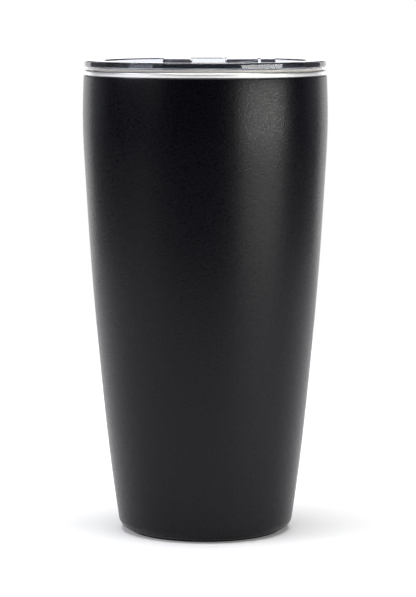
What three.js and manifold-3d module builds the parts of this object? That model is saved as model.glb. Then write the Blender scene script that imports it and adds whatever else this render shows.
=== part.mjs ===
// Insulated travel tumbler: a double-wall vacuum cup of powder-coated steel on a soft foot pad, with
// a clear press-in lid, its silicone gasket, and a slider that opens and closes the drink opening.
// Millimetres, +Z up. The origin is the centre of the foot pad's underside, where the cup stands.
// The drink opening is on the +X side of the lid, and the slider opens towards -X.

import * as THREE from "three";
import { mergeVertices } from "three/addons/utils/BufferGeometryUtils.js";
import Module from "manifold-3d";

const wasm = await Module();
wasm.setup();

// ---- fineness of the curves ----
const ROUND_SEGMENTS = 48; // steps round each large turned piece
const SMALL_SEGMENTS = 24; // steps round each small turned piece
const SIDE_STEPS = 6; // steps up the cup's side
const MOUTH_STEPS = 3; // steps through the liner's wider mouth
const NECK_STEPS = 2; // steps from the shell's widest level to its top
const CORNER_STEPS = 4; // steps in each rounded corner
const EDGE_STEPS = 3; // steps in each small edge round

// ---- outer shell ----
const SIDE_HEIGHTS = [4.6, 20, 60, 100, 130, 150, 167];
const SIDE_RADII = [31.96, 34.1, 38.4, 41.8, 43.65, 44.5, 44.1];
const WIDEST_HEIGHT = 150;
const SHELL_WALL = 0.55;
const SHELL_TOP = 166.6;
const SHELL_TOP_ROUND = 0.4;
const NECK_INNER_RADIUS = 41.3; // the shell's top turns inwards this far, under the lip
const CORNER_RADIUS = 4.7; // the rolled edge at the foot
const CORNER_CENTRE = [27.3, 5.2];
const SIDE_LEAN = THREE.MathUtils.degToRad(7.4); // the side leaves the rolled edge at this lean
const BASE_OPENING_RADIUS = 25.5;

// ---- inner liner ----
const LINER_WALL = 0.5;
const LINER_INSET = 5.2; // from the shell's outside to the liner's inside, below the mouth
const MOUTH_INSET = 3.5;
const MOUTH_STEP_HEIGHTS = [138, 152]; // the inset eases from one to the other between these heights
const MOUTH_RADIUS = 40.6;
const FLOOR_HEIGHT = 11;
const FLOOR_CORNER_RADIUS = 8;
const LIP_TOP = 168.4;
const LIP_RADIUS = 43.9;
const LIP_FOOT_RADIUS = 43.4; // the lip tapers in to the shell below it
const LIP_ROUND = 0.7;
const LIP_OUTER_ROUND = 0.4;

// ---- foil, base and foot ----
const FOIL_THICKNESS = 0.3;
const FOIL_GAP = 0.3;
const FOIL_WRAP_HEIGHTS = [22, 134];
const FOIL_DISC_RADIUS = 20;
const PLATE_BOTTOM = 3;
const PLATE_THICKNESS = 0.6;
const PLATE_RADIUS = 30.6;
const DIMPLE_RADIUS = 5;
const DIMPLE_RISE = 1.2;
const EVACUATION_HOLE_RADIUS = 1;
const BEAD_RADIUS = 3;
const GETTER_OFFSET = 16; // from the cup's axis
const GETTER_RADIUS = 4.3;
const GETTER_THICKNESS = 1.8;
const HOLDER_RADIUS = 5;
const HOLDER_WALL = 0.4;
const HOLDER_HEIGHT = 1.8;
const COVER_RADIUS = 27.2;
const COVER_THICKNESS = 0.5;
const PAD_RADIUS = 27.9;
const PAD_HEIGHT = 0.48; // stands below the rolled edge
const PAD_PLUG_RADIUS = 25.2;
const PAD_PLUG_TOP = 1;
const PAD_GROOVES = [18, 10]; // outer radius of each groove in the pad's underside
const PAD_GROOVE_WIDTH = 2;
const PAD_GROOVE_DEPTH = 0.25;

// ---- lid: heights below are from its seat, the plane where its gasket meets the lip ----
const LID_SEAT = LIP_TOP + 0.1;
const FLANGE_RADIUS = 44;
const FLANGE_TOP = 3.5;
const FLANGE_TOP_ROUND = 0.5;
const FLANGE_UNDERSIDE = 1.25;
const FLANGE_LOWER_ROUND = 0.3;
const RIM_INNER_RADIUS = 37;
const RIM_INNER_ROUND = 0.8;
const BOWL_RADIUS = 36.6;
const DECK_TOP = -6.5;
const DECK_UNDERSIDE = -8.5;
const SKIRT_RADIUS = 39.9;
const SKIRT_INNER_RADIUS = 37;
const SKIRT_BOTTOM = -12.5;
const GROOVE_RADIUS = 38.7;
const GROOVE_BOTTOM = -10; // the groove runs up to the flange
const OPENING_SIZE = [18, 7];
const OPENING_Y = -26;
const VENT_RADIUS = 1.25;
const VENT_Y = 33.6;
const RAIL_INNER_X = 12.3;
const RAIL_OUTER_X = 13.5;
const RAIL_LIP_X = 10.9; // the rail's top reaches in this far over the slider
const RAIL_LIP_BOTTOM = -4.2;
const RAIL_TOP = -3;
const RAIL_ENDS = [-30, 30];
const STOP_WIDTH = 6;
const STOP_HEIGHT = 1.6;
const FRONT_STOP = [-35.8, -33.9];
const REAR_STOP = [29.8, 31.6];

// ---- gasket ----
const GASKET_INNER_RADIUS = 38.95;
const GASKET_BAND_RADIUS = 39.6;
const GASKET_FIN_RADIUS = 40.4;
const GASKET_BOTTOM = -9.9;
const GASKET_COLLAR_RADIUS = 43.3;
const GASKET_COLLAR_TOP = 1;
const GASKET_COLLAR_ROUND = 0.4;
const GASKET_FINS = 3;
const GASKET_FINS_TOP = -3.6;
const GASKET_FIN_ROOT = 0.9; // height of a fin where it leaves the band
const GASKET_FIN_TIP = 0.35;

// ---- slider ----
const SLIDER_FRONT = -33.5;
const SLIDER_LENGTH = 50;
const SLIDER_WIDTH = 24;
const SLIDER_BOTTOM = -6.2;
const SLIDER_FLANGE_TOP = -4.5;
const SLIDER_TOP = -3.3;
const SLIDER_TOP_WIDTH = 21;
const SLIDER_TOP_LENGTH = 48;
const SLIDER_CORNER = 5;
const GRIP_ENDS = [-25.3, 15.3];
const GRIP_WIDTH = 18;
const GRIP_CORNER = 2;
const GRIP_TOP = 4.1; // just above the rim
const THUMB_TOP = [-8, 5.5]; // ends of the thumb hollow at the top of the grip
const THUMB_FLOOR = [-6, 3.5];
const THUMB_DEPTH = 2.8;
const GRIP_GROOVE = [-20, -19]; // a cross groove in the front of the grip
const GRIP_GROOVE_DEPTH = 1.6;
const SEAL_SIZE = [21.4, 10.2];
const SEAL_CORNER = 3.5;
const SEAL_BOTTOM = -6.3;
const SEAL_TOP = -5.45;
const SEAL_POCKET_TOP = -5.35;
const SEAL_POCKET_MARGIN = 0.2;

// ---- materials ----
const FINISHES = {
  powder_coat: { color: 0x1b1b1f, roughness: 0.5, metalness: 0.1 },
  steel: { color: 0xc9c9c6, roughness: 0.3, metalness: 1 },
  plate_steel: { color: 0x9d9d9a, roughness: 0.45, metalness: 1 },
  copper_foil: { color: 0xc98a5e, roughness: 0.35, metalness: 1 },
  seal_glass: { color: 0x3b3a36, roughness: 0.3, metalness: 0 },
  getter_alloy: { color: 0x5a5a58, roughness: 0.8, metalness: 0.4 },
  clear_plastic: { color: 0xe4e8ee, roughness: 0.08, metalness: 0 },
  clear_silicone: { color: 0xd9d6cf, roughness: 0.5, metalness: 0 },
  black_silicone: { color: 0x111113, roughness: 0.8, metalness: 0 },
};

// ---- helpers ----

function point(r, z) {
  return new THREE.Vector2(r, z);
}

// Points of an arc in the (r, z) plane, angles in radians from the +r direction.
function arc(centreR, centreZ, radius, from, to, steps) {
  return Array.from({ length: steps + 1 }, (_, i) => {
    const angle = from + ((to - from) * i) / steps;
    return point(centreR + radius * Math.cos(angle), centreZ + radius * Math.sin(angle));
  });
}

const RIGHT_ANGLE = Math.PI / 2;
const sideCurve = new THREE.CubicInterpolant(SIDE_HEIGHTS, SIDE_RADII, 1);

// Radius of the cup's outside at a height.
function sideRadius(z) {
  return sideCurve.evaluate(z)[0];
}

// Radius of the liner's inside at a height.
function linerRadius(z) {
  const ease = THREE.MathUtils.smoothstep(z, ...MOUTH_STEP_HEIGHTS);
  const inset = THREE.MathUtils.lerp(LINER_INSET, MOUTH_INSET, ease);
  return Math.min(MOUTH_RADIUS, sideRadius(z) - inset);
}

// Points up a side between two heights; radiusAt gives the radius at each height.
function side(from, to, radiusAt, steps = SIDE_STEPS) {
  return Array.from({ length: steps + 1 }, (_, i) => {
    const z = THREE.MathUtils.lerp(from, to, i / steps);
    return point(radiusAt(z), z);
  });
}

// Points up the shell to a height, at a distance inside its outer face.
function shellSide(to, distance) {
  const radiusAt = (z) => sideRadius(z) - distance;
  return [
    ...side(SIDE_HEIGHTS[0], WIDEST_HEIGHT, radiusAt),
    ...side(WIDEST_HEIGHT, to, radiusAt, NECK_STEPS).slice(1),
  ];
}

// Points up the liner between two heights, at a distance outside its inner face.
function linerSide(from, to, distance) {
  const [stepLow, stepHigh] = MOUTH_STEP_HEIGHTS;
  const radiusAt = (z) => linerRadius(z) + distance;
  return [
    ...side(from, stepLow, radiusAt),
    ...side(stepLow, stepHigh, radiusAt, MOUTH_STEPS).slice(1),
    point(radiusAt(to), to),
  ];
}

// A solid of revolution about Z from a profile that runs with the material on its left.
function turned(profile, segments = ROUND_SEGMENTS) {
  return new THREE.LatheGeometry(profile, segments).rotateX(RIGHT_ANGLE);
}

// The same for a profile that doesn't touch the axis: it is closed on itself.
function turnedRing(profile, segments = ROUND_SEGMENTS) {
  return turned([...profile, profile[0].clone()], segments);
}

// An upright slab with a rounded rectangular outline, centred on (0, centreY).
function slab(width, length, corner, bottom, top, centreY = 0) {
  const x = width / 2 - corner;
  const y = length / 2 - corner;
  const outline = new THREE.Shape();
  outline.absarc(x, -y, corner, -RIGHT_ANGLE, 0);
  outline.absarc(x, y, corner, 0, RIGHT_ANGLE);
  outline.absarc(-x, y, corner, RIGHT_ANGLE, 2 * RIGHT_ANGLE);
  outline.absarc(-x, -y, corner, 2 * RIGHT_ANGLE, 3 * RIGHT_ANGLE);
  const options = { depth: top - bottom, bevelEnabled: false, curveSegments: CORNER_STEPS };
  return new THREE.ExtrudeGeometry(outline, options).translate(0, centreY, bottom);
}

// A box between two corners.
function block(low, high) {
  const size = high.map((value, i) => value - low[i]);
  const centre = high.map((value, i) => (value + low[i]) / 2);
  return new THREE.BoxGeometry(...size).translate(...centre);
}

function solidFrom(geometry) {
  const bare = geometry.clone();
  bare.deleteAttribute("normal");
  bare.deleteAttribute("uv");
  const merged = mergeVertices(bare);
  const mesh = new wasm.Mesh({
    numProp: 3,
    vertProperties: merged.attributes.position.array,
    triVerts: new Uint32Array(merged.index.array),
  });
  return new wasm.Manifold(mesh);
}

function geometryFrom(solid) {
  const mesh = solid.getMesh();
  const geometry = new THREE.BufferGeometry();
  geometry.setAttribute("position", new THREE.BufferAttribute(mesh.vertProperties, 3));
  geometry.setIndex(new THREE.BufferAttribute(mesh.triVerts, 1));
  return geometry;
}

// The first geometry joined with the added ones, then cut by the others.
function carved(first, added, cutters) {
  const joined = added.reduce((solid, g) => solid.add(solidFrom(g)), solidFrom(first));
  return geometryFrom(cutters.reduce((solid, g) => solid.subtract(solidFrom(g)), joined));
}

function piece(name, geometry, finish) {
  const material = new THREE.MeshStandardMaterial(FINISHES[finish]);
  const mesh = new THREE.Mesh(geometry, material);
  mesh.name = name;
  return mesh;
}

// ---- cup ----

function outerShell() {
  const [cornerR, cornerZ] = CORNER_CENTRE;
  const corner = (radius) =>
    arc(cornerR, cornerZ, radius, -RIGHT_ANGLE, -SIDE_LEAN, CORNER_STEPS);
  const topRound = arc(
    sideRadius(SHELL_TOP) - SHELL_TOP_ROUND,
    SHELL_TOP - SHELL_TOP_ROUND,
    SHELL_TOP_ROUND,
    0,
    RIGHT_ANGLE,
    EDGE_STEPS,
  );
  const outside = shellSide(SHELL_TOP - SHELL_TOP_ROUND, 0).slice(1, -1);
  const inside = shellSide(SHELL_TOP - SHELL_WALL, SHELL_WALL).slice(1);
  const baseTop = cornerZ - CORNER_RADIUS + SHELL_WALL;
  return turnedRing([
    point(BASE_OPENING_RADIUS, cornerZ - CORNER_RADIUS),
    ...corner(CORNER_RADIUS),
    ...outside,
    ...topRound,
    point(NECK_INNER_RADIUS, SHELL_TOP),
    point(NECK_INNER_RADIUS, SHELL_TOP - SHELL_WALL),
    ...inside.reverse(),
    ...corner(CORNER_RADIUS - SHELL_WALL).reverse(),
    point(BASE_OPENING_RADIUS, baseTop),
  ]);
}

// The corner between the liner's floor and side, at a distance outside the liner's inner face.
function linerCorner(distance) {
  const centreZ = FLOOR_HEIGHT + FLOOR_CORNER_RADIUS;
  const centreR = linerRadius(centreZ) - FLOOR_CORNER_RADIUS;
  const radius = FLOOR_CORNER_RADIUS + distance;
  return arc(centreR, centreZ, radius, -RIGHT_ANGLE, 0, CORNER_STEPS);
}

function innerLiner() {
  const cornerTop = FLOOR_HEIGHT + FLOOR_CORNER_RADIUS;
  const roundZ = LIP_TOP - LIP_ROUND;
  const outside = linerSide(cornerTop, SHELL_TOP, LINER_WALL).slice(1);
  const inside = linerSide(cornerTop, roundZ, 0).slice(1, -1);
  const outerRound = arc(
    LIP_RADIUS - LIP_OUTER_ROUND,
    LIP_TOP - LIP_OUTER_ROUND,
    LIP_OUTER_ROUND,
    0,
    RIGHT_ANGLE,
    EDGE_STEPS,
  );
  const innerEdge = MOUTH_RADIUS + LIP_ROUND;
  const innerRound = arc(innerEdge, roundZ, LIP_ROUND, RIGHT_ANGLE, 2 * RIGHT_ANGLE, EDGE_STEPS);
  return turned([
    point(0, FLOOR_HEIGHT - LINER_WALL),
    ...linerCorner(LINER_WALL),
    ...outside,
    point(LIP_FOOT_RADIUS, SHELL_TOP),
    ...outerRound,
    ...innerRound,
    ...inside.reverse(),
    ...linerCorner(0).reverse(),
    point(0, FLOOR_HEIGHT),
  ]);
}

function foilWrap() {
  const gap = LINER_WALL + FOIL_GAP;
  const inside = side(...FOIL_WRAP_HEIGHTS, (z) => linerRadius(z) + gap);
  const outside = side(...FOIL_WRAP_HEIGHTS, (z) => linerRadius(z) + gap + FOIL_THICKNESS);
  return turnedRing([...outside, ...inside.reverse()]);
}

// A plain disc on the axis.
function disc(radius, bottom, top) {
  return turned([point(0, bottom), point(radius, bottom), point(radius, top), point(0, top)]);
}

function foilDisc() {
  const top = FLOOR_HEIGHT - LINER_WALL - FOIL_GAP;
  return disc(FOIL_DISC_RADIUS, top - FOIL_THICKNESS, top);
}

// The pressed plate that closes the vacuum space, with the evacuation hole in its dimple.
function basePlate() {
  const top = PLATE_BOTTOM + PLATE_THICKNESS;
  const slopeRun = DIMPLE_RISE;
  return turnedRing([
    point(EVACUATION_HOLE_RADIUS, PLATE_BOTTOM + DIMPLE_RISE),
    point(DIMPLE_RADIUS, PLATE_BOTTOM + DIMPLE_RISE),
    point(DIMPLE_RADIUS + slopeRun, PLATE_BOTTOM),
    point(PLATE_RADIUS, PLATE_BOTTOM),
    point(PLATE_RADIUS, top),
    point(DIMPLE_RADIUS + slopeRun, top),
    point(DIMPLE_RADIUS, top + DIMPLE_RISE),
    point(EVACUATION_HOLE_RADIUS, top + DIMPLE_RISE),
  ]);
}

// The bead that seals the evacuation hole from below, with a stem up into the hole.
function sealBead() {
  const gap = 0.05;
  const top = PLATE_BOTTOM + DIMPLE_RISE - gap;
  const stemRadius = EVACUATION_HOLE_RADIUS - 2 * gap;
  const edgeHeight = 0.5;
  const crown = 0.3;
  const profile = [
    point(0, top - edgeHeight - crown),
    point(BEAD_RADIUS * 0.7, top - edgeHeight - crown / 2),
    point(BEAD_RADIUS, top - edgeHeight),
    point(BEAD_RADIUS, top),
    point(stemRadius, top),
    point(stemRadius, top + PLATE_THICKNESS),
    point(0, top + PLATE_THICKNESS),
  ];
  return turned(profile, SMALL_SEGMENTS);
}

// The spot-welded cup that holds the getter on the base plate; its base is at z = 0.
function getterHolder() {
  const inner = HOLDER_RADIUS - HOLDER_WALL;
  const profile = [
    point(0, 0),
    point(HOLDER_RADIUS, 0),
    point(HOLDER_RADIUS, HOLDER_HEIGHT),
    point(inner, HOLDER_HEIGHT),
    point(inner, HOLDER_WALL),
    point(0, HOLDER_WALL),
  ];
  return turned(profile, SMALL_SEGMENTS);
}

function getterPill() {
  const chamfer = 0.3;
  const profile = [
    point(0, 0),
    point(GETTER_RADIUS, 0),
    point(GETTER_RADIUS, GETTER_THICKNESS - chamfer),
    point(GETTER_RADIUS - chamfer, GETTER_THICKNESS),
    point(0, GETTER_THICKNESS),
  ];
  return turned(profile, SMALL_SEGMENTS);
}

// The soft foot: a plug in the base opening with a wide flange below it, grooved underneath.
function footPad() {
  const chamfer = 0.15;
  const grooves = [...PAD_GROOVES].reverse().flatMap((outer) => [
    point(outer - PAD_GROOVE_WIDTH, 0),
    point(outer - PAD_GROOVE_WIDTH, PAD_GROOVE_DEPTH),
    point(outer, PAD_GROOVE_DEPTH),
    point(outer, 0),
  ]);
  return turned([
    point(0, 0),
    ...grooves,
    point(PAD_RADIUS - chamfer, 0),
    point(PAD_RADIUS, chamfer),
    point(PAD_RADIUS, PAD_HEIGHT),
    point(PAD_PLUG_RADIUS, PAD_HEIGHT),
    point(PAD_PLUG_RADIUS, PAD_PLUG_TOP),
    point(0, PAD_PLUG_TOP),
  ]);
}

// ---- lid ----

// The clear lid before its slots and rails: flange, bowl, deck and skirt in one turned profile.
function lidDish() {
  const roundR = FLANGE_RADIUS - FLANGE_TOP_ROUND;
  const roundZ = FLANGE_TOP - FLANGE_TOP_ROUND;
  const outerRound = arc(roundR, roundZ, FLANGE_TOP_ROUND, 0, RIGHT_ANGLE, EDGE_STEPS);
  const innerRound = arc(
    RIM_INNER_RADIUS + RIM_INNER_ROUND,
    FLANGE_TOP - RIM_INNER_ROUND,
    RIM_INNER_ROUND,
    RIGHT_ANGLE,
    2 * RIGHT_ANGLE,
    EDGE_STEPS,
  );
  const lowerRound = arc(
    FLANGE_RADIUS - FLANGE_LOWER_ROUND,
    FLANGE_UNDERSIDE + FLANGE_LOWER_ROUND,
    FLANGE_LOWER_ROUND,
    -RIGHT_ANGLE,
    0,
    EDGE_STEPS,
  );
  const bowlRound = 1;
  const leadIn = 0.8;
  return turned([
    point(0, DECK_UNDERSIDE),
    point(SKIRT_INNER_RADIUS, DECK_UNDERSIDE),
    point(SKIRT_INNER_RADIUS, SKIRT_BOTTOM),
    point(SKIRT_RADIUS - leadIn, SKIRT_BOTTOM),
    point(SKIRT_RADIUS, SKIRT_BOTTOM + leadIn),
    point(SKIRT_RADIUS, GROOVE_BOTTOM),
    point(GROOVE_RADIUS, GROOVE_BOTTOM),
    point(GROOVE_RADIUS, FLANGE_UNDERSIDE),
    ...lowerRound,
    ...outerRound,
    ...innerRound,
    point(BOWL_RADIUS, DECK_TOP + bowlRound),
    point(BOWL_RADIUS - bowlRound, DECK_TOP),
    point(0, DECK_TOP),
  ]);
}

// One of the two rails that the slider's edges run in; turn is 1 for +X and -1 for -X.
function rail(turn) {
  const [front, rear] = RAIL_ENDS;
  const sink = 0.5; // into the deck, so that the join is sound
  const spanX = (from, to) => [Math.min(turn * from, turn * to), Math.max(turn * from, turn * to)];
  const [webLow, webHigh] = spanX(RAIL_INNER_X, RAIL_OUTER_X);
  const [lipLow, lipHigh] = spanX(RAIL_LIP_X, RAIL_OUTER_X);
  return [
    block([webLow, front, DECK_TOP - sink], [webHigh, rear, RAIL_TOP]),
    block([lipLow, front, RAIL_LIP_BOTTOM], [lipHigh, rear, RAIL_TOP]),
  ];
}

// A low block on the deck that ends the slider's travel.
function travelStop([front, rear]) {
  const sink = 0.5;
  const half = STOP_WIDTH / 2;
  return block([-half, front, DECK_TOP - sink], [half, rear, DECK_TOP + STOP_HEIGHT]);
}

function lidBody() {
  const below = DECK_UNDERSIDE - 1;
  const above = DECK_TOP + 1;
  const [openingWidth, openingLength] = OPENING_SIZE;
  const opening = slab(
    openingWidth,
    openingLength,
    openingLength / 2 - 0.1,
    below,
    above,
    OPENING_Y,
  );
  const vent = new THREE.CylinderGeometry(VENT_RADIUS, VENT_RADIUS, above - below, SMALL_SEGMENTS)
    .rotateX(RIGHT_ANGLE)
    .translate(0, VENT_Y, (above + below) / 2);
  const added = [...rail(1), ...rail(-1), travelStop(FRONT_STOP), travelStop(REAR_STOP)];
  return carved(lidDish(), added, [opening, vent]);
}

// The gasket: a band in the lid's groove with fins that lean upwards against the liner,
// and a collar that lies between the lid's flange and the cup's lip.
function lidGasket() {
  const pitch = (GASKET_FINS_TOP - GASKET_BOTTOM) / GASKET_FINS;
  const lean = 0.25; // a fin's tip stands this much above the middle of its root
  const fins = Array.from({ length: GASKET_FINS }, (_, i) => {
    const middle = GASKET_BOTTOM + pitch * (i + 0.5);
    return [
      point(GASKET_BAND_RADIUS, middle - GASKET_FIN_ROOT / 2),
      point(GASKET_FIN_RADIUS, middle + lean - GASKET_FIN_TIP / 2),
      point(GASKET_FIN_RADIUS, middle + lean + GASKET_FIN_TIP / 2),
      point(GASKET_BAND_RADIUS, middle + GASKET_FIN_ROOT / 2),
    ];
  });
  const collarRound = arc(
    GASKET_COLLAR_RADIUS - GASKET_COLLAR_ROUND,
    GASKET_COLLAR_ROUND,
    GASKET_COLLAR_ROUND,
    -RIGHT_ANGLE,
    0,
    EDGE_STEPS,
  );
  return turnedRing([
    point(GASKET_INNER_RADIUS, GASKET_BOTTOM),
    point(GASKET_BAND_RADIUS, GASKET_BOTTOM),
    ...fins.flat(),
    point(GASKET_BAND_RADIUS, 0),
    ...collarRound,
    point(GASKET_COLLAR_RADIUS, GASKET_COLLAR_TOP),
    point(GASKET_INNER_RADIUS, GASKET_COLLAR_TOP),
  ]);
}

// ---- slider: drawn about its own middle ----

const SLIDER_MIDDLE = SLIDER_FRONT + SLIDER_LENGTH / 2;
const SEAL_Y = OPENING_Y - SLIDER_MIDDLE;

// The hollow for the thumb, whose ends slope; it runs right across the grip.
function thumbHollow() {
  const over = 1;
  const half = GRIP_WIDTH / 2 + over;
  const floor = GRIP_TOP - THUMB_DEPTH;
  const slope = (THUMB_FLOOR[0] - THUMB_TOP[0]) / THUMB_DEPTH;
  const outline = new THREE.Shape([
    point(THUMB_FLOOR[0] - SLIDER_MIDDLE, floor),
    point(THUMB_FLOOR[1] - SLIDER_MIDDLE, floor),
    point(THUMB_TOP[1] - SLIDER_MIDDLE + slope * over, GRIP_TOP + over),
    point(THUMB_TOP[0] - SLIDER_MIDDLE - slope * over, GRIP_TOP + over),
  ]);
  return new THREE.ExtrudeGeometry(outline, { depth: 2 * half, bevelEnabled: false })
    .rotateX(RIGHT_ANGLE)
    .rotateZ(RIGHT_ANGLE)
    .translate(-half, 0, 0);
}

function slider() {
  const [gripFront, gripRear] = GRIP_ENDS;
  const [sealWidth, sealLength] = SEAL_SIZE;
  const sink = 0.3;
  const flange = slab(
    SLIDER_WIDTH,
    SLIDER_LENGTH,
    SLIDER_CORNER,
    SLIDER_BOTTOM,
    SLIDER_FLANGE_TOP,
  );
  const top = slab(
    SLIDER_TOP_WIDTH,
    SLIDER_TOP_LENGTH,
    SLIDER_CORNER,
    SLIDER_FLANGE_TOP - sink,
    SLIDER_TOP,
  );
  const grip = slab(
    GRIP_WIDTH,
    gripRear - gripFront,
    GRIP_CORNER,
    SLIDER_TOP - sink,
    GRIP_TOP,
    (gripFront + gripRear) / 2 - SLIDER_MIDDLE,
  );
  const groove = block(
    [-GRIP_WIDTH, GRIP_GROOVE[0] - SLIDER_MIDDLE, GRIP_TOP - GRIP_GROOVE_DEPTH],
    [GRIP_WIDTH, GRIP_GROOVE[1] - SLIDER_MIDDLE, GRIP_TOP + 1],
  );
  const pocket = slab(
    sealWidth + 2 * SEAL_POCKET_MARGIN,
    sealLength + 2 * SEAL_POCKET_MARGIN,
    SEAL_CORNER,
    SLIDER_BOTTOM - 1,
    SEAL_POCKET_TOP,
    SEAL_Y,
  );
  return carved(flange, [top, grip], [groove, thumbHollow(), pocket]);
}

function sliderSeal() {
  const [width, length] = SEAL_SIZE;
  return slab(width, length, SEAL_CORNER, SEAL_BOTTOM, SEAL_TOP, SEAL_Y);
}

// ---- the assembly ----

function getterGroup() {
  const group = new THREE.Group();
  const holder = piece("getter_holder", getterHolder(), "plate_steel");
  const pill = piece("getter_pill", getterPill(), "getter_alloy");
  pill.position.z = HOLDER_WALL;
  group.add(holder, pill);
  group.position.set(GETTER_OFFSET, 0, PLATE_BOTTOM + PLATE_THICKNESS);
  return group;
}

function cupGroup() {
  const group = new THREE.Group();
  const coverBottom = CORNER_CENTRE[1] - CORNER_RADIUS + SHELL_WALL;
  group.add(
    piece("outer_shell", outerShell(), "powder_coat"),
    piece("inner_liner", innerLiner(), "steel"),
    piece("foil_wrap", foilWrap(), "copper_foil"),
    piece("foil_disc", foilDisc(), "copper_foil"),
    piece("vacuum_base_plate", basePlate(), "plate_steel"),
    piece("vacuum_seal_bead", sealBead(), "seal_glass"),
    getterGroup(),
    piece(
      "base_cover",
      disc(COVER_RADIUS, coverBottom, coverBottom + COVER_THICKNESS),
      "plate_steel",
    ),
    piece("foot_pad", footPad(), "black_silicone"),
  );
  return group;
}

function sliderGroup() {
  const group = new THREE.Group();
  group.add(
    piece("slider", slider(), "clear_plastic"),
    piece("slider_seal", sliderSeal(), "clear_silicone"),
  );
  group.position.y = SLIDER_MIDDLE;
  return group;
}

function lidGroup() {
  const group = new THREE.Group();
  group.add(
    piece("lid_body", lidBody(), "clear_plastic"),
    piece("lid_gasket", lidGasket(), "clear_silicone"),
    sliderGroup(),
  );
  group.position.z = LID_SEAT;
  group.rotation.z = RIGHT_ANGLE;
  return group;
}

const tumbler = new THREE.Group();
tumbler.add(cupGroup(), lidGroup());

export default tumbler;
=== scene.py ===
"""Looks of the insulated travel tumbler: smooth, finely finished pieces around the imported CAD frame."""

import math

import bmesh
import bpy
import numpy as np
from mathutils import Matrix, Vector


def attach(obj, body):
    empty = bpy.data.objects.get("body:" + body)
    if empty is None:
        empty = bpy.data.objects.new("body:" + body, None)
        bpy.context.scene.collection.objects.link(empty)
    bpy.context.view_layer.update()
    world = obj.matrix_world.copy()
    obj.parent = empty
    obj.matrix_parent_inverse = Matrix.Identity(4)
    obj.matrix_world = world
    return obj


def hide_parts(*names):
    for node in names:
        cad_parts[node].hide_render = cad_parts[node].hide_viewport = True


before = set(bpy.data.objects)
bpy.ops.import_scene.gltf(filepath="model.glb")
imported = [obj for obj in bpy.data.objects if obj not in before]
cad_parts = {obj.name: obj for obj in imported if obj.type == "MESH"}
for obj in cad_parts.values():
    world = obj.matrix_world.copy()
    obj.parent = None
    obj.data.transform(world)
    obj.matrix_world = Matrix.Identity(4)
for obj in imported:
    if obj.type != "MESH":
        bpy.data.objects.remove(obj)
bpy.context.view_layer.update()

MM = 0.001  # in metres
RIGHT_ANGLE = math.pi / 2
ROUND = 192  # steps round each large turned piece
SMALL_ROUND = 64
CREASE = math.radians(32)  # edges that bend more than this stay sharp
MERGE = 1e-7  # metres: vertices nearer than this are one
AXIS_REACH = 1e-9  # a radius below this is on the axis

# ---- sizes of the cup, in millimetres as in the CAD model ----
# The outer side's points, from the top of the foot's rolled corner up to the neck.
SIDE_HEIGHTS = [4.6, 20, 60, 100, 130, 150, 167]
SIDE_RADII = [31.96, 34.1, 38.4, 41.8, 43.65, 44.5, 44.1]
SHELL_WALL = 0.55
SHELL_TOP = 166.6
SHELL_TOP_ROUND = 0.4
NECK_INNER_RADIUS = 41.3
CORNER_RADIUS = 4.7
CORNER_CENTRE = (27.3, 5.2)  # radius and height
SIDE_LEAN = math.radians(7.4)  # from upright, where the side meets the corner
BASE_OPENING_RADIUS = 25.5  # inside the rolled foot
LINER_WALL = 0.5
LINER_INSET = 5.2  # from the outer side to the liner's inner side
MOUTH_INSET = 3.5  # the same near the mouth
MOUTH_STEP = (138, 152)  # heights between which it changes
MOUTH_RADIUS = 40.6
FLOOR_HEIGHT = 11
FLOOR_CORNER_RADIUS = 8
LIP_TOP = 168.4
LIP_RADIUS = 43.9
LIP_FOOT_RADIUS = 43.4  # where the lip tapers in to the shell below it
LIP_ROUND = 0.7
LIP_OUTER_ROUND = 0.4
FOIL_THICKNESS = 0.3
FOIL_GAP = 0.3
FOIL_WRAP_HEIGHTS = (22, 134)
FOIL_DISC_RADIUS = 20
PLATE_BOTTOM = 3
PLATE_THICKNESS = 0.6
PLATE_RADIUS = 30.6
DIMPLE_RADIUS = 5
DIMPLE_RISE = 1.2
HOLE_RADIUS = 1
BEAD_RADIUS = 3
BEAD_TOP = 4.15
BEAD_EDGE = 3.85  # height of the edge of the bead's rounded underside
BEAD_BULGE = 0.5  # how far the underside comes down below that edge
STEM_RADIUS = 0.9
GETTER_OFFSET = (16, 0)
GETTER_RADIUS = 4.3
GETTER_THICKNESS = 1.8
HOLDER_RADIUS = 5
HOLDER_WALL = 0.4
HOLDER_HEIGHT = 1.8
COVER_RADIUS = 27.2
COVER_BOTTOM = 1.05
COVER_THICKNESS = 0.5
PAD_RADIUS = 27.9
PAD_HEIGHT = 0.48
PAD_PLUG_RADIUS = 25.2  # the part of the pad that sits inside the rolled foot
PAD_PLUG_TOP = 1
PAD_GROOVES = ((8, 10), (16, 18))  # inner and outer radius of each groove underneath
PAD_GROOVE_DEPTH = 0.25

# ---- sizes of the lid and slider, whose heights are from the lid's seat ----
SEAT = 168.5
FLANGE_RADIUS = 44
FLANGE_TOP = 3.5
FLANGE_UNDERSIDE = 1.25
RIM_INNER_RADIUS = 37
BOWL_RADIUS = 36.6
DECK_TOP = -6.5
DECK_UNDERSIDE = -8.5
SKIRT_RADIUS = 39.9
SKIRT_INNER_RADIUS = 37
SKIRT_BOTTOM = -12.5
SKIRT_LEAD_IN = 0.8
GROOVE_RADIUS = 38.7
GROOVE_BOTTOM = -10
OPENING_SIZE = (18, 7)
OPENING_CORNER = 3.4
OPENING_FLARE = 0.5  # round of the drink opening's edges
OPENING_Y = -26
VENT_RADIUS = 1.25
VENT_Y = 33.6
RAIL_WEB = (1.2, 60)  # width and length
RAIL_WEB_X = 12.9
RAIL_LIP = (2.6, 60)
RAIL_LIP_X = 12.2
RAIL_CORNER = 0.45
RAIL_LIP_BOTTOM = -4.2
RAIL_TOP = -3
STOPS = ((-34.85, 1.9), (30.7, 1.8))  # middle and length of each stop of the slider's travel
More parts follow.
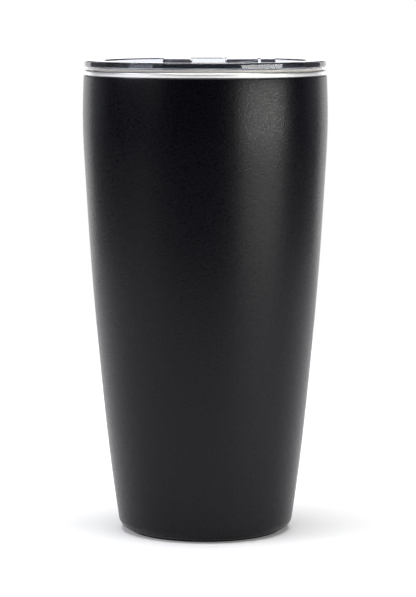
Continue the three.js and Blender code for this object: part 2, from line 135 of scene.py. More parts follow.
STOP_WIDTH = 6
STOP_HEIGHT = 1.6
STOP_CORNER = 0.6
DECK_SINK = 0.5  # how far the rails and stops go into the deck, so that the join is sound
GASKET_INNER_RADIUS = 38.95
GASKET_BAND_RADIUS = 39.6
GASKET_FIN_RADIUS = 40.4
GASKET_BOTTOM = -9.9
GASKET_FINS = 3
GASKET_FINS_TOP = -3.6
FIN_ROOT = 0.9
FIN_TIP = (0.08, 0.42)  # heights of a fin's tip above the middle of its root
COLLAR_RADIUS = 43.3
COLLAR_TOP = 1.0
SLIDER_MIDDLE = -8.5
SLIDER_SIZE = (24, 50, 5)  # width, length and corner
SLIDER_BOTTOM = -6.2
SLIDER_FLANGE_TOP = -4.5
SLIDER_TOP_SIZE = (21, 48, 5)
SLIDER_TOP = -3.3
SLIDER_SINK = 0.3  # how far each slab of the slider goes into the one below
GRIP_ENDS = (-25.3, 15.3)
GRIP_WIDTH = 18
GRIP_CORNER = 2
GRIP_TOP = 4.1
THUMB_TOP = (-8, 5.5)  # ends of the thumb hollow at the top of the grip
THUMB_FLOOR = (-6, 3.5)
THUMB_DEPTH = 2.8
THUMB_SKIM = 0.02  # the hollow's eased edges start this far over the grip's top
GRIP_GROOVE = (-20, -19)
GRIP_GROOVE_DEPTH = 1.6
POCKET_SIZE = (21.8, 10.6, 3.7)
POCKET_TOP = -5.35
SEAL_SIZE = (21.4, 10.2, 3.5)
SEAL_BOTTOM = -6.3
SEAL_TOP = -5.45
OVER = 1  # how far a cutter reaches past what it cuts
SHARP = 0.0001  # the round of an edge that is left all but sharp

# ---- studio ----
FLOOR_SIZE = (1200, 380, 600)  # millimetres: width, reach in front of the axis and behind it
FLOOR_THICKNESS = 4
FLOOR_GLOW = 0.14  # a translucent table lit from below, which softens the shadows
AMBIENT = 0.01
LIGHT_DISTANCE = 1.3  # metres, from the point that every light faces
LIGHT_AIM = (0, 0, 0.09)
NEUTRAL = (1, 1, 1)
WARM = (1, 1, 0.96)
BLUISH = (0.95, 0.97, 1.08)
LENS = 161.7  # millimetres, as the sensor's width
SENSOR_WIDTH = 36
CAMERA_PLACE = (0.00098, -0.976, 0.196)  # metres
CAMERA_TILT = math.radians(6.49)  # down from level

# ---- shared by the materials ----
NOISE_SPAN = (0.3, 0.7)  # most of a noise texture's values lie between these
GRAIN_SPAN = (0.35, 0.65)
MIX_COLOURS = (6, 7)  # the two colour inputs of a Mix node
MIX_RESULT = 2
LINE_WAVINESS = 3.0  # how much the lathe lines change on their way round
STEEL_SHADE = 0.86  # the darker patches of steel
PEEL_SHARE = 0.3


# ---- profiles: lists of (radius, height) ----


def arc(centre, radius, start, end, steps):
    """Points of an arc in the (r, z) plane, angles in radians from the +r direction."""
    angles = np.linspace(start, end, steps + 1)
    return [(centre[0] + radius * math.cos(a), centre[1] + radius * math.sin(a)) for a in angles]


def rounded(corners, steps=5):
    """A polyline through (r, z, round) corners, each corner with its own round; 0 keeps it sharp."""
    out = []
    count = len(corners)
    for i, (r, z, size) in enumerate(corners):
        here = Vector((r, z))
        if not size:
            out.append((r, z))
            continue
        before = Vector(corners[i - 1][:2]) - here
        after = Vector(corners[(i + 1) % count][:2]) - here
        before.normalize()
        after.normalize()
        half = before.angle(after) / 2
        reach = size / math.tan(half)
        start = here + before * reach
        end = here + after * reach
        centre = here + (before + after).normalized() * (size / math.sin(half))
        first = math.atan2(*(start - centre).yx)
        sweep = (math.atan2(*(end - centre).yx) - first + math.pi) % (2 * math.pi) - math.pi
        out += arc(centre, size, first, first + sweep, steps)
    return out


def natural_spline(xs, ys):
    """The natural cubic spline through the points, as a function."""
    xs = np.array(xs, float)
    ys = np.array(ys, float)
    h = np.diff(xs)
    count = len(xs)
    a = np.eye(count)
    b = np.zeros(count)
    for i in range(1, count - 1):
        a[i, i - 1 : i + 2] = h[i - 1], 2 * (h[i - 1] + h[i]), h[i]
        b[i] = 6 * ((ys[i + 1] - ys[i]) / h[i] - (ys[i] - ys[i - 1]) / h[i - 1])
    m = np.linalg.solve(a, b)

    def value(x):
        i = int(np.clip(np.searchsorted(xs, x) - 1, 0, count - 2))
        left = xs[i + 1] - x
        right = x - xs[i]
        cubic = (m[i] * left**3 + m[i + 1] * right**3) / (6 * h[i])
        line_left = (ys[i] / h[i] - m[i] * h[i] / 6) * left
        line_right = (ys[i + 1] / h[i] - m[i + 1] * h[i] / 6) * right
        return cubic + line_left + line_right

    return value


side_spline = natural_spline(SIDE_HEIGHTS, SIDE_RADII)


def side_radius(z):
    """The outer shell's radius, kept within the greatest of the given radii."""
    return min(side_spline(z), max(SIDE_RADII))


def liner_radius(z):
    """The liner's inner radius: parallel to the side, drawn nearer to it at the mouth."""
    t = min(max((z - MOUTH_STEP[0]) / (MOUTH_STEP[1] - MOUTH_STEP[0]), 0), 1)
    ease = t * t * (3 - 2 * t)
    return min(MOUTH_RADIUS, side_radius(z) - LINER_INSET + (LINER_INSET - MOUTH_INSET) * ease)


def side(low, high, radius_at, steps):
    """Points of a side from a low to a high height."""
    return [(radius_at(z), z) for z in np.linspace(low, high, steps + 1)]


# ---- meshes ----


def new_object(name, vertices, faces):
    """A smooth-shaded object from millimetre vertices, its creases kept sharp."""
    mesh = bpy.data.meshes.new(name)
    mesh.from_pydata([tuple(c * MM for c in v) for v in vertices], [], faces)
    tidy_mesh(mesh)
    obj = bpy.data.objects.new(name, mesh)
    bpy.context.collection.objects.link(obj)
    return obj


def tidy_mesh(mesh):
    """Merges doubled vertices, turns the faces outwards and shades smooth but for the creases."""
    work = bmesh.new()
    work.from_mesh(mesh)
    bmesh.ops.remove_doubles(work, verts=work.verts, dist=MERGE)
    bmesh.ops.recalc_face_normals(work, faces=work.faces)
    work.to_mesh(mesh)
    work.free()
    mesh.shade_smooth()
    mesh.set_sharp_from_angle(angle=CREASE)


def turned(name, profile, steps=ROUND, offset=(0, 0)):
    """A solid of revolution about Z. A profile that touches the axis starts and ends on it."""
    on_axis = profile[0][0] < AXIS_REACH
    rings = profile[1:-1] if on_axis else profile
    vertices = []
    for r, z in rings:
        for k in range(steps):
            angle = 2 * math.pi * k / steps
            x = offset[0] + r * math.cos(angle)
            y = offset[1] + r * math.sin(angle)
            vertices.append((x, y, z))
    faces = []
    spans = len(rings) - 1 if on_axis else len(rings)
    for i in range(spans):
        a = i * steps
        b = (i + 1) % len(rings) * steps
        for k in range(steps):
            n = (k + 1) % steps
            faces.append((a + k, a + n, b + n, b + k))
    if on_axis:
        for ring, z in ((0, profile[0][1]), (len(rings) - 1, profile[-1][1])):
            pole = len(vertices)
            vertices.append((*offset, z))
            for k in range(steps):
                faces.append((pole, ring * steps + k, ring * steps + (k + 1) % steps))
    return new_object(name, vertices, faces)


def slab_outline(width, length, corner, inset, steps=10):
    """The outline of a rounded rectangle, drawn in by an inset."""
    radius = corner - inset
    x = width / 2 - corner
    y = length / 2 - corner
    points = []
    for cx, cy, start in ((x, -y, -1), (x, y, 0), (-x, y, 1), (-x, -y, 2)):
        for angle in np.linspace(start * RIGHT_ANGLE, (start + 1) * RIGHT_ANGLE, steps + 1):
            points.append((cx + radius * math.cos(angle), cy + radius * math.sin(angle)))
    return points


def lofted(name, levels, width, length, corner, centre=(0, 0), steps=10):
    """A solid from rounded-rectangle outlines at (height, inset) levels, the lowest first."""
    vertices = []
    for z, inset in levels:
        for x, y in slab_outline(width, length, corner, inset, steps):
            vertices.append((centre[0] + x, centre[1] + y, z))
    count = 4 * (steps + 1)
    faces = []
    for i in range(len(levels) - 1):
        for k in range(count):
            n = (k + 1) % count
            low = i * count
            high = low + count
            faces.append((low + k, low + n, high + n, high + k))
    faces.append(tuple(range(count)))
    faces.append(tuple((len(levels) - 1) * count + k for k in range(count)))
    return new_object(name, vertices, faces)


def edge_levels(bottom, top, low_round, high_round, steps=4):
    """Levels of a slab whose lower and upper edges are rounded."""
    levels = []
    for angle in np.linspace(0, RIGHT_ANGLE, steps + 1):
        levels.append((bottom + low_round * (1 - math.cos(angle)), low_round * (1 - math.sin(angle))))
    for angle in np.linspace(0, RIGHT_ANGLE, steps + 1):
        levels.append((top - high_round * (1 - math.sin(angle)), high_round * (1 - math.cos(angle))))
    return levels


def combine(obj, others, operation):
    """Applies an exact boolean of each other object, which is then removed."""
    for other in others:
        modifier = obj.modifiers.new("boolean", "BOOLEAN")
        modifier.operation = operation
        modifier.solver = "EXACT"
        modifier.object = other
        result = obj.evaluated_get(bpy.context.evaluated_depsgraph_get())
        made = bpy.data.meshes.new_from_object(result)
        obj.modifiers.clear()
        obj.data = made
        bpy.data.objects.remove(other)
    tidy_mesh(obj.data)
    return obj


def quarter_turn(obj):
    """Turns a piece drawn along -Y about Z, so that it points along +X."""
    obj.data.transform(Matrix.Rotation(RIGHT_ANGLE, 4, "Z"))
    return obj


def finish_piece(obj, body, slot, material, *nodes):
    """Gives a piece its material, its body and the CAD nodes it stands for. The finish slot argument is
    not used.
    """
    obj.data.materials.clear()
    obj.data.materials.append(material)
    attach(obj, body)
    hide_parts(*nodes)


# ---- materials, whose noise scales are in cells per metre ----


class Nodes:
    """A material's node tree with short ways to add nodes. An underscore in a key stands for a space."""

    def __init__(self, name):
        self.material = bpy.data.materials.new(name)
        self.material.use_nodes = True
        self.tree = self.material.node_tree
        self.shader = self.tree.nodes["Principled BSDF"]

    def set(self, **values):
        """Sets the shader's own sockets."""
        for key, value in values.items():
            self.shader.inputs[key.replace("_", " ")].default_value = value

    def use(self, **sources):
        """Links sources to the shader's sockets."""
        for key, source in sources.items():
            self.tree.links.new(source, self.shader.inputs[key.replace("_", " ")])

    def add(self, kind, links=(), **settings):
        """A new node. Each setting is an attribute of the node or the value of a socket."""
        node = self.tree.nodes.new(kind)
        for key, value in settings.items():
            if hasattr(node, key):
                setattr(node, key, value)
            else:
                node.inputs[key.replace("_", " ")].default_value = value
        for socket, source in links:
            self.tree.links.new(source, node.inputs[socket])
        return node

    def place(self):
        return self.add("ShaderNodeTexCoord").outputs["Object"]

    def noise(self, vector, scale, detail=2.0, roughness=0.5):
        settings = {"Scale": scale, "Detail": detail, "Roughness": roughness}
        return self.add("ShaderNodeTexNoise", [("Vector", vector)], **settings).outputs["Fac"]

    def ramp(self, value, low, high, span=NOISE_SPAN):
        """The value mapped from its span to low..high."""
        node = self.add("ShaderNodeMapRange", [("Value", value)])
        node.inputs["From Min"].default_value, node.inputs["From Max"].default_value = span
        node.inputs["To Min"].default_value = low
        node.inputs["To Max"].default_value = high
        return node.outputs["Result"]

    def math(self, operation, first, second):
        node = self.add("ShaderNodeMath", operation=operation)
        for socket, value in zip(node.inputs, (first, second)):
            if isinstance(value, (int, float)):
                socket.default_value = value
            else:
                self.tree.links.new(value, socket)
        return node.outputs["Value"]

    def blend(self, factor, first, second):
        """A colour between two, by the factor."""
        node = self.add("ShaderNodeMix", data_type="RGBA")
        self.tree.links.new(factor, node.inputs["Factor"])
        for socket, colour in zip(MIX_COLOURS, (first, second)):
            node.inputs[socket].default_value = (*colour, 1)
        return node.outputs[MIX_RESULT]

    def turned_lines(self, per_mm):
        """Fine lines that run round the Z axis, as a lathe or a polishing wheel leaves them."""
        place = self.add("ShaderNodeSeparateXYZ", [("Vector", self.place())])
        x, y, z = place.outputs
        squares = self.math("ADD", self.math("MULTIPLY", x, x), self.math("MULTIPLY", y, y))
        radius = self.math("SQRT", squares, 0.0)
        across = self.math("MULTIPLY", self.math("ADD", radius, z), per_mm / MM)
        turn_x = self.math("MULTIPLY", self.math("DIVIDE", x, radius), LINE_WAVINESS)
        turn_y = self.math("MULTIPLY", self.math("DIVIDE", y, radius), LINE_WAVINESS)
        vector = self.add("ShaderNodeCombineXYZ", [("X", turn_x), ("Y", turn_y), ("Z", across)])
        return self.noise(vector.outputs["Vector"], scale=1.0, detail=3.0, roughness=0.6)

    def bump(self, height, strength, distance_mm):
        settings = {"Strength": strength, "Distance": distance_mm * MM}
        node = self.add("ShaderNodeBump", [("Height", height)], **settings)
        self.use(Normal=node.outputs["Normal"])


def powder_coat():
    """Matt black powder coat: a fine grain over a soft orange peel."""
    n = Nodes("powder_coat")
    place = n.place()
    grain = n.noise(place, scale=1600, detail=1.0)
    peel = n.noise(place, scale=600, detail=1.0)
    height = n.math("ADD", grain, n.math("MULTIPLY", peel, PEEL_SHARE))
    n.bump(height, strength=1.0, distance_mm=0.05)
    n.use(Roughness=n.ramp(grain, 0.26, 0.35, GRAIN_SPAN))
    tone = n.ramp(grain, 0, 1, GRAIN_SPAN)
    n.use(Base_Color=n.blend(tone, (0.0012, 0.0012, 0.003), (0.0018, 0.0018, 0.004)))
    n.set(IOR=1.5, Specular_IOR_Level=0.2)
    return n.material


def steel(name, colour, roughness, lines_per_mm, depth):
    """Turned or brushed steel with lines round the axis. Roughness is its least and its most."""
    n = Nodes(name)
    lines = n.turned_lines(lines_per_mm)
    cloud = n.noise(n.place(), scale=60)
    n.set(Metallic=1.0)
    dark = tuple(c * STEEL_SHADE for c in colour)
    n.use(Base_Color=n.blend(cloud, dark, colour))
    n.use(Roughness=n.ramp(lines, *roughness))
    n.bump(lines, strength=depth, distance_mm=0.01)
    return n.material


def clear_plastic():
    """Clear moulded plastic with a faint flow in its tint and its polish."""
    n = Nodes("clear_plastic")
    flow = n.noise(n.place(), scale=90)
    n.set(Transmission_Weight=1.0, IOR=1.54, Specular_Tint=(0.62, 0.62, 0.64, 1))
    n.use(Base_Color=n.blend(flow, (0.62, 0.64, 0.7), (0.68, 0.7, 0.76)))
    n.use(Roughness=n.ramp(flow, 0.0, 0.03))
    return n.material


def clear_silicone():
    """Milky beige silicone, a little translucent."""
    n = Nodes("clear_silicone")
    haze = n.noise(n.place(), scale=300, detail=3.0)
    n.set(Transmission_Weight=0.3, IOR=1.45, Specular_Tint=(0.62, 0.6, 0.58, 1))
    n.use(Base_Color=n.blend(haze, (0.8, 0.76, 0.71), (0.88, 0.84, 0.79)))
    n.use(Roughness=n.ramp(haze, 0.04, 0.09))
    n.bump(haze, strength=0.03, distance_mm=0.02)
    return n.material


def black_silicone():
    """Dull black silicone with a fine moulded grain."""
    n = Nodes("black_silicone")
    grain = n.noise(n.place(), scale=1500, detail=3.0, roughness=0.6)
    n.use(Base_Color=n.blend(grain, (0.002, 0.002, 0.0025), (0.005, 0.005, 0.006)))
    n.use(Roughness=n.ramp(grain, 0.65, 0.85))
    n.set(Specular_IOR_Level=0.15)
    n.bump(grain, strength=0.3, distance_mm=0.04)
    return n.material


def copper_foil():
    """Thin copper foil, crinkled from being wrapped."""
    n = Nodes("copper_foil")
    place = n.place()
    crinkle = n.noise(place, scale=180, detail=4.0, roughness=0.65)
    tone = n.noise(place, scale=35)
    n.set(Metallic=1.0)
    n.use(Base_Color=n.blend(tone, (0.78, 0.42, 0.27), (0.93, 0.58, 0.42)))
    n.use(Roughness=n.ramp(crinkle, 0.2, 0.4))
    n.bump(crinkle, strength=0.6, distance_mm=0.25)
    return n.material


def seal_glass():
    """Dark brazing glass with swirls from melting."""
    n = Nodes("seal_glass")
    swirl = n.noise(n.place(), scale=700)
    n.use(Base_Color=n.blend(swirl, (0.03, 0.028, 0.022), (0.08, 0.075, 0.06)))
    n.use(Roughness=n.ramp(swirl, 0.08, 0.2))
    n.bump(swirl, strength=0.2, distance_mm=0.05)
    return n.material


def getter_alloy():
    """Gritty grey pressed powder of a metal alloy."""
    n = Nodes("getter_alloy")
    grit = n.noise(n.place(), scale=2500, detail=4.0, roughness=0.7)
    n.set(Metallic=0.5)
    n.use(Base_Color=n.blend(grit, (0.06, 0.06, 0.058), (0.2, 0.2, 0.19)))
    n.use(Roughness=n.ramp(grit, 0.7, 0.95))
    n.bump(grit, strength=0.7, distance_mm=0.06)
    return n.material


# ---- the cup ----


def outer_shell():
    neck = side_radius(SHELL_TOP)
    bottom = CORNER_CENTRE[1] - CORNER_RADIUS
    round_z = SHELL_TOP - SHELL_TOP_ROUND

    def corner(radius):
        return arc(CORNER_CENTRE, radius, -RIGHT_ANGLE, -SIDE_LEAN, steps=16)

    def inner_radius(z):
        return side_radius(z) - SHELL_WALL

    outside = side(SIDE_HEIGHTS[0], round_z, side_radius, steps=60)[1:-1]
    inside = side(SIDE_HEIGHTS[0], SHELL_TOP - SHELL_WALL, inner_radius, steps=30)
    profile = [(BASE_OPENING_RADIUS, bottom)] + corner(CORNER_RADIUS) + outside
    profile += arc((neck - SHELL_TOP_ROUND, round_z), SHELL_TOP_ROUND, 0, RIGHT_ANGLE, steps=6)
    profile += [(NECK_INNER_RADIUS, SHELL_TOP), (NECK_INNER_RADIUS, SHELL_TOP - SHELL_WALL)]
    profile += inside[::-1][:-1] + corner(CORNER_RADIUS - SHELL_WALL)[::-1]
    profile.append((BASE_OPENING_RADIUS, bottom + SHELL_WALL))
    return turned("outer_shell_coated", profile)


def inner_liner():
    corner_z = FLOOR_HEIGHT + FLOOR_CORNER_RADIUS
    corner_r = liner_radius(corner_z) - FLOOR_CORNER_RADIUS
    round_z = LIP_TOP - LIP_ROUND

    def corner(distance):
        radius = FLOOR_CORNER_RADIUS + distance
        return arc((corner_r, corner_z), radius, -RIGHT_ANGLE, 0, steps=12)

    outside = side(corner_z, SHELL_TOP, lambda z: liner_radius(z) + LINER_WALL, steps=50)[1:]
    inside = side(corner_z, round_z, liner_radius, steps=60)[1:-1]
    profile = [(0, FLOOR_HEIGHT - LINER_WALL)] + corner(LINER_WALL) + outside
    profile.append((LIP_FOOT_RADIUS, SHELL_TOP))
    outer_centre = (LIP_RADIUS - LIP_OUTER_ROUND, LIP_TOP - LIP_OUTER_ROUND)
    profile += arc(outer_centre, LIP_OUTER_ROUND, 0, RIGHT_ANGLE, steps=12)
    inner_centre = (MOUTH_RADIUS + LIP_ROUND, round_z)
    profile += arc(inner_centre, LIP_ROUND, RIGHT_ANGLE, 2 * RIGHT_ANGLE, steps=8)
    profile += inside[::-1] + corner(0)[::-1] + [(0, FLOOR_HEIGHT)]
    return turned("inner_liner_polished", profile)


def foil_wrap():
    near = LINER_WALL + FOIL_GAP
    far = near + FOIL_THICKNESS
    inside = side(*FOIL_WRAP_HEIGHTS, lambda z: liner_radius(z) + near, steps=40)
    outside = side(*FOIL_WRAP_HEIGHTS, lambda z: liner_radius(z) + far, steps=40)
    return turned("foil_wrap_copper", outside + inside[::-1])


def disc(name, radius, bottom, top, low_round, high_round):
    """A flat disc about the axis with its own round at each edge."""
    corners = [(0, bottom, 0), (radius, bottom, low_round), (radius, top, high_round), (0, top, 0)]
    return turned(name, rounded(corners))


def foil_disc():
    top = FLOOR_HEIGHT - LINER_WALL - FOIL_GAP
    bottom = top - FOIL_THICKNESS
    return disc("foil_disc_copper", FOIL_DISC_RADIUS, bottom, top, low_round=0.1, high_round=0.1)


def base_plate():
    top = PLATE_BOTTOM + PLATE_THICKNESS
    slope_foot = DIMPLE_RADIUS + DIMPLE_RISE
    corners = [
        (HOLE_RADIUS, PLATE_BOTTOM + DIMPLE_RISE, 0.1),
        (DIMPLE_RADIUS, PLATE_BOTTOM + DIMPLE_RISE, 0.5),
        (slope_foot, PLATE_BOTTOM, 0.5),
        (PLATE_RADIUS, PLATE_BOTTOM, 0.15),
        (PLATE_RADIUS, top, 0.15),
        (slope_foot, top, 0.5),
        (DIMPLE_RADIUS, top + DIMPLE_RISE, 0.5),
        (HOLE_RADIUS, top + DIMPLE_RISE, 0.1),
    ]
    return turned("vacuum_base_plate_pressed", rounded(corners))


def seal_bead():
    angles = np.linspace(0, RIGHT_ANGLE, 12)
    underside = [(BEAD_RADIUS * math.sin(a), BEAD_EDGE - BEAD_BULGE * math.cos(a)) for a in angles]
    stem_top = BEAD_TOP + PLATE_THICKNESS
    stem = [
        (BEAD_RADIUS, BEAD_TOP, 0.1),
        (STEM_RADIUS, BEAD_TOP, 0),
        (STEM_RADIUS, stem_top, 0.15),
        (0, stem_top, 0),
    ]
    return turned("vacuum_seal_bead_glass", underside + rounded(stem), SMALL_ROUND)


def getter_holder():
    bottom = PLATE_BOTTOM + PLATE_THICKNESS
    top = bottom + HOLDER_HEIGHT
    inner = HOLDER_RADIUS - HOLDER_WALL
    corners = [
        (0, bottom, 0),
        (HOLDER_RADIUS, bottom, 0.4),
        (HOLDER_RADIUS, top, 0.15),
        (inner, top, 0.15),
        (inner, bottom + HOLDER_WALL, 0.1),
        (0, bottom + HOLDER_WALL, 0),
    ]
    return turned("getter_holder_cup", rounded(corners), SMALL_ROUND, GETTER_OFFSET)


def getter_pill():
    bottom = PLATE_BOTTOM + PLATE_THICKNESS + HOLDER_WALL
    top = bottom + GETTER_THICKNESS
    corners = [(0, bottom, 0), (GETTER_RADIUS, bottom, 0.1), (GETTER_RADIUS, top, 0.35), (0, top, 0)]
    return turned("getter_pill_pressed", rounded(corners), SMALL_ROUND, GETTER_OFFSET)


def base_cover():
    top = COVER_BOTTOM + COVER_THICKNESS
    return disc("base_cover_disc", COVER_RADIUS, COVER_BOTTOM, top, low_round=0.1, high_round=0.2)


def foot_pad():
    corners = [(0, 0, 0)]
    for inner, outer in PAD_GROOVES:
        corners += [(inner, 0, 0.08), (inner, PAD_GROOVE_DEPTH, 0.08)]
        corners += [(outer, PAD_GROOVE_DEPTH, 0.08), (outer, 0, 0.08)]
    corners += [
        (PAD_RADIUS, 0, 0.15),
        (PAD_RADIUS, PAD_HEIGHT, 0.05),
        (PAD_PLUG_RADIUS, PAD_HEIGHT, 0.05),
        (PAD_PLUG_RADIUS, PAD_PLUG_TOP, 0.1),
        (0, PAD_PLUG_TOP, 0),
    ]
    return turned("foot_pad_soft", rounded(corners, steps=4))


# ---- the lid ----


def seated(corners):
    """Corners whose heights are from the lid's seat, moved up to it."""
    return [(r, SEAT + z, size) for r, z, size in corners]


def lid_dish():
    """The lid before its slots and rails: flange, bowl, deck and skirt."""
    corners = [
        (0, DECK_UNDERSIDE, 0),
        (SKIRT_INNER_RADIUS, DECK_UNDERSIDE, 0.6),
        (SKIRT_INNER_RADIUS, SKIRT_BOTTOM, 0.5),
        (SKIRT_RADIUS - SKIRT_LEAD_IN, SKIRT_BOTTOM, 0.3),
        (SKIRT_RADIUS, SKIRT_BOTTOM + SKIRT_LEAD_IN, 0.6),
        (SKIRT_RADIUS, GROOVE_BOTTOM, 0.15),
        (GROOVE_RADIUS, GROOVE_BOTTOM, 0.15),
        (GROOVE_RADIUS, FLANGE_UNDERSIDE, 0.15),
        (FLANGE_RADIUS, FLANGE_UNDERSIDE, 0.3),
        (FLANGE_RADIUS, FLANGE_TOP, 0.5),
        (RIM_INNER_RADIUS, FLANGE_TOP, 0.8),
        (BOWL_RADIUS, DECK_TOP, 1.0),
        (0, DECK_TOP, 0),
    ]
    return turned("lid_body_clear", rounded(seated(corners), steps=8))


def rails_and_stops():
    """Two rails that hold the slider down and the stops at the ends of its travel."""
    deck = SEAT + DECK_TOP
    top = SEAT + RAIL_TOP
    web = edge_levels(deck - DECK_SINK, top, SHARP, 0.3)
    lip = edge_levels(SEAT + RAIL_LIP_BOTTOM, top, 0.3, 0.3)
    stop = edge_levels(deck - DECK_SINK, deck + STOP_HEIGHT, SHARP, 0.4)
    added = []
    for turn in (1, -1):
        added.append(lofted("rail", web, *RAIL_WEB, RAIL_CORNER, (turn * RAIL_WEB_X, 0)))
        added.append(lofted("rail_lip", lip, *RAIL_LIP, RAIL_CORNER, (turn * RAIL_LIP_X, 0)))
    for middle, length in STOPS:
        added.append(lofted("stop", stop, STOP_WIDTH, length, STOP_CORNER, (0, middle)))
    return added


def flared_levels(low, high, flare, steps=4):
    """Levels of a cutter that goes right through and rounds both edges of its hole."""
    levels = [(low - OVER, -flare)]
    for angle in np.linspace(0, RIGHT_ANGLE, steps + 1):
        levels.append((low + flare * (1 - math.cos(angle)), -flare * (1 - math.sin(angle))))
    for angle in np.linspace(0, RIGHT_ANGLE, steps + 1):
        levels.append((high - flare * (1 - math.sin(angle)), -flare * (1 - math.cos(angle))))
    levels.append((high + OVER, -flare))
    return levels


def lid_body():
    low = SEAT + DECK_UNDERSIDE
    high = SEAT + DECK_TOP
    dish = combine(lid_dish(), rails_and_stops(), "UNION")
    levels = flared_levels(low, high, OPENING_FLARE)
    opening = lofted("opening", levels, *OPENING_SIZE, OPENING_CORNER, (0, OPENING_Y))
    width = 2 * VENT_RADIUS
    vent_levels = [(low - OVER, 0), (high + OVER, 0)]
    vent = lofted("vent", vent_levels, width, width, VENT_RADIUS - SHARP, (0, VENT_Y))
    return quarter_turn(combine(dish, [opening, vent], "DIFFERENCE"))


def lid_gasket():
    pitch = (GASKET_FINS_TOP - GASKET_BOTTOM) / GASKET_FINS
    corners = [(GASKET_INNER_RADIUS, GASKET_BOTTOM, 0.2), (GASKET_BAND_RADIUS, GASKET_BOTTOM, 0.1)]
    for i in range(GASKET_FINS):
        middle = GASKET_BOTTOM + pitch * (i + 0.5)
        corners += [
            (GASKET_BAND_RADIUS, middle - FIN_ROOT / 2, 0.1),
            (GASKET_FIN_RADIUS, middle + FIN_TIP[0], 0.12),
            (GASKET_FIN_RADIUS, middle + FIN_TIP[1], 0.12),
            (GASKET_BAND_RADIUS, middle + FIN_ROOT / 2, 0.1),
        ]
    corners += [
        (GASKET_BAND_RADIUS, 0, 0.15),
        (COLLAR_RADIUS, 0, 0.4),
        (COLLAR_RADIUS, COLLAR_TOP, 0.15),
        (GASKET_INNER_RADIUS, COLLAR_TOP, 0.2),
    ]
    return turned("lid_gasket_silicone", rounded(seated(corners), steps=4))


# ---- the slider ----


def cross_cut(name, corners):
    """A cutter right across the grip, from (y, z, round) corners of its outline."""
    outline = rounded(corners)
    half = GRIP_WIDTH / 2 + OVER
    count = len(outline)
    vertices = [(x, y, z) for x in (-half, half) for y, z in outline]
    faces = [(k, (k + 1) % count, count + (k + 1) % count, count + k) for k in range(count)]
    faces += [tuple(range(count)), tuple(range(count, 2 * count))]
    return new_object(name, vertices, faces)


def slider_solid():
    """The slider before its cuts: a flange, a narrower top and the grip."""
    flange = edge_levels(SEAT + SLIDER_BOTTOM, SEAT + SLIDER_FLANGE_TOP, 0.3, 0.3)
    top = edge_levels(SEAT + SLIDER_FLANGE_TOP - SLIDER_SINK, SEAT + SLIDER_TOP, SHARP, 0.5)
    grip = edge_levels(SEAT + SLIDER_TOP - SLIDER_SINK, SEAT + GRIP_TOP, SHARP, 0.5)
    front, rear = GRIP_ENDS
    body = lofted("slider_clear", flange, *SLIDER_SIZE, (0, SLIDER_MIDDLE))
    added = [
        lofted("top", top, *SLIDER_TOP_SIZE, (0, SLIDER_MIDDLE)),
        lofted("grip", grip, GRIP_WIDTH, rear - front, GRIP_CORNER, (0, (front + rear) / 2)),
    ]
    return combine(body, added, "UNION")


def thumb_cut():
    """The cutter of the thumb hollow, whose upper edges are eased."""
    above = SEAT + GRIP_TOP + OVER
    skim = SEAT + GRIP_TOP + THUMB_SKIM
    floor_z = SEAT + GRIP_TOP - THUMB_DEPTH
    front, rear = THUMB_TOP
    corners = [(front - OVER, skim, 0), (front, skim, 0.4)]
    corners += [(THUMB_FLOOR[0], floor_z, 1), (THUMB_FLOOR[1], floor_z, 1)]
    corners += [(rear, skim, 0.4), (rear + OVER, skim, 0)]
    corners += [(rear + OVER, above, 0), (front - OVER, above, 0)]
    return cross_cut("thumb_hollow", corners)


def groove_cut():
    above = SEAT + GRIP_TOP + OVER
    floor_z = SEAT + GRIP_TOP - GRIP_GROOVE_DEPTH
    front, rear = GRIP_GROOVE
    corners = [(front, floor_z, 0.3), (rear, floor_z, 0.3), (rear, above, 0), (front, above, 0)]
    return cross_cut("groove", corners)


def slider():
    pocket_levels = [(SEAT + SLIDER_BOTTOM - OVER, 0), (SEAT + POCKET_TOP, 0)]
    body = slider_solid()
    pocket = lofted("pocket", pocket_levels, *POCKET_SIZE, (0, OPENING_Y))
    return quarter_turn(combine(body, [thumb_cut(), groove_cut(), pocket], "DIFFERENCE"))


def slider_seal():
    levels = edge_levels(SEAT + SEAL_BOTTOM, SEAT + SEAL_TOP, 0.25, 0.15)
    return quarter_turn(lofted("slider_seal_silicone", levels, *SEAL_SIZE, (0, OPENING_Y)))


# ---- the pieces on their bodies ----

coat = powder_coat()
polished = steel("polished_steel", (0.95, 0.95, 0.94), (0.3, 0.38), lines_per_mm=6, depth=0.12)
pressed = steel("plate_steel", (0.62, 0.61, 0.59), (0.28, 0.42), lines_per_mm=4, depth=0.25)
foil = copper_foil()
silicone = clear_silicone()
plastic = clear_plastic()

finish_piece(outer_shell(), "cup", "powder_coat", coat, "outer_shell")
finish_piece(inner_liner(), "cup", "polished_steel", polished, "inner_liner")
finish_piece(foil_wrap(), "cup", "copper_foil", foil, "foil_wrap")
finish_piece(foil_disc(), "cup", "copper_foil", foil, "foil_disc")
finish_piece(base_plate(), "cup", "plate_steel", pressed, "vacuum_base_plate")
finish_piece(seal_bead(), "cup", "seal_glass", seal_glass(), "vacuum_seal_bead")
finish_piece(getter_holder(), "cup", "plate_steel", pressed, "getter_holder")
finish_piece(getter_pill(), "cup", "getter_alloy", getter_alloy(), "getter_pill")
finish_piece(base_cover(), "cup", "plate_steel", pressed, "base_cover")
finish_piece(foot_pad(), "cup", "black_silicone", black_silicone(), "foot_pad")
finish_piece(lid_body(), "lid", "clear_plastic", plastic, "lid_body")
finish_piece(lid_gasket(), "gasket", "clear_silicone", silicone, "lid_gasket")
finish_piece(slider(), "slider", "clear_plastic", plastic, "slider")
finish_piece(slider_seal(), "slider", "clear_silicone", silicone, "slider_seal")


# ---- floor, light and camera ----


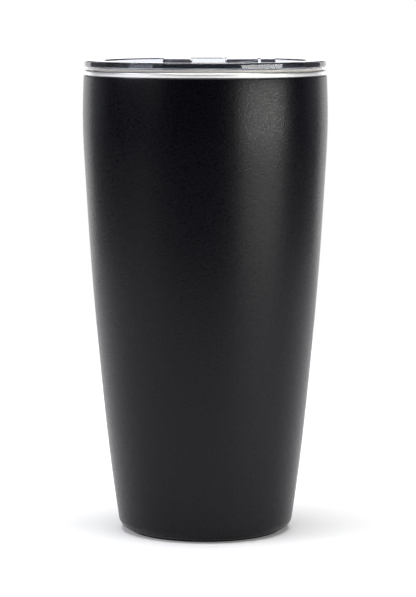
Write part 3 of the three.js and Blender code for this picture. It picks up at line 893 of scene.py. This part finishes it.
def floor():
    """A white table top with a faint glow of its own."""
    n = Nodes("floor_white")
    speckle = n.noise(n.place(), scale=40)
    n.use(Base_Color=n.blend(speckle, (0.86, 0.86, 0.87), (0.88, 0.88, 0.89)))
    n.set(Roughness=0.9, Emission_Color=(1, 1, 1, 1), Emission_Strength=FLOOR_GLOW)
    width, front, back = FLOOR_SIZE
    corners = [(-width / 2, -front), (width / 2, -front), (width / 2, back), (-width / 2, back)]
    vertices = [(x, y, z) for z in (-FLOOR_THICKNESS, 0) for x, y in corners]
    faces = [(3, 2, 1, 0), (4, 5, 6, 7), (0, 1, 5, 4), (1, 2, 6, 5), (2, 3, 7, 6), (3, 0, 4, 7)]
    obj = new_object("studio_floor", vertices, faces)
    obj.data.materials.append(n.material)


def softbox(name, azimuth, elevation, size, radiance, tint=NEUTRAL):
    """A soft panel facing the cup, its azimuth in degrees from the camera's side towards +X."""
    data = bpy.data.lights.new(name, "AREA")
    data.shape = "RECTANGLE"
    data.size, data.size_y = size
    data.energy = radiance * math.pi * size[0] * size[1]
    data.color = tint
    obj = bpy.data.objects.new(name, data)
    bpy.context.collection.objects.link(obj)
    a = math.radians(azimuth)
    e = math.radians(elevation)
    direction = Vector((math.sin(a) * math.cos(e), -math.cos(a) * math.cos(e), math.sin(e)))
    obj.location = Vector(LIGHT_AIM) + direction * LIGHT_DISTANCE
    obj.rotation_euler = direction.to_track_quat("Z", "Y").to_euler()
    obj.visible_camera = False


def surround():
    """A white background that the camera sees, and a dim room for the light."""
    world = bpy.data.worlds.new("studio")
    bpy.context.scene.world = world
    world.use_nodes = True
    tree = world.node_tree
    dim = tree.nodes["Background"]
    dim.inputs["Color"].default_value = (1, 1, 1, 1)
    dim.inputs["Strength"].default_value = AMBIENT
    white = tree.nodes.new("ShaderNodeBackground")
    white.inputs["Color"].default_value = (1, 1, 1, 1)
    path = tree.nodes.new("ShaderNodeLightPath")
    mix = tree.nodes.new("ShaderNodeMixShader")
    tree.links.new(path.outputs["Is Camera Ray"], mix.inputs["Fac"])
    tree.links.new(dim.outputs["Background"], mix.inputs[1])
    tree.links.new(white.outputs["Background"], mix.inputs[2])
    tree.links.new(mix.outputs["Shader"], tree.nodes["World Output"].inputs["Surface"])


def camera():
    """A long lens in front of the cup and a little above the lid, as in the photograph."""
    data = bpy.data.cameras.new("camera")
    data.lens = LENS
    data.sensor_width = SENSOR_WIDTH
    obj = bpy.data.objects.new("camera", data)
    bpy.context.collection.objects.link(obj)
    obj.location = CAMERA_PLACE
    obj.rotation_euler = (RIGHT_ANGLE - CAMERA_TILT, 0, 0)
    bpy.context.scene.camera = obj


floor()
surround()
softbox("strip_right", 55, 1.5, (1.0, 0.22), 13.5, WARM)
softbox("strip_left", -50, 11, (0.45, 0.2), 1.6)
softbox("side_left", -75, 27, (0.6, 0.6), 4.4, BLUISH)
softbox("overhead", 0, 87, (1.2, 1.0), 7.7)
softbox("backdrop", 180, 2, (2.4, 0.6), 1.5)
softbox("backdrop_left", -125, 8, (0.9, 0.5), 0.4, BLUISH)
softbox("backdrop_right", 125, 8, (0.9, 0.5), 0.35, BLUISH)
camera()
bpy.context.scene.view_settings.view_transform = "Standard"
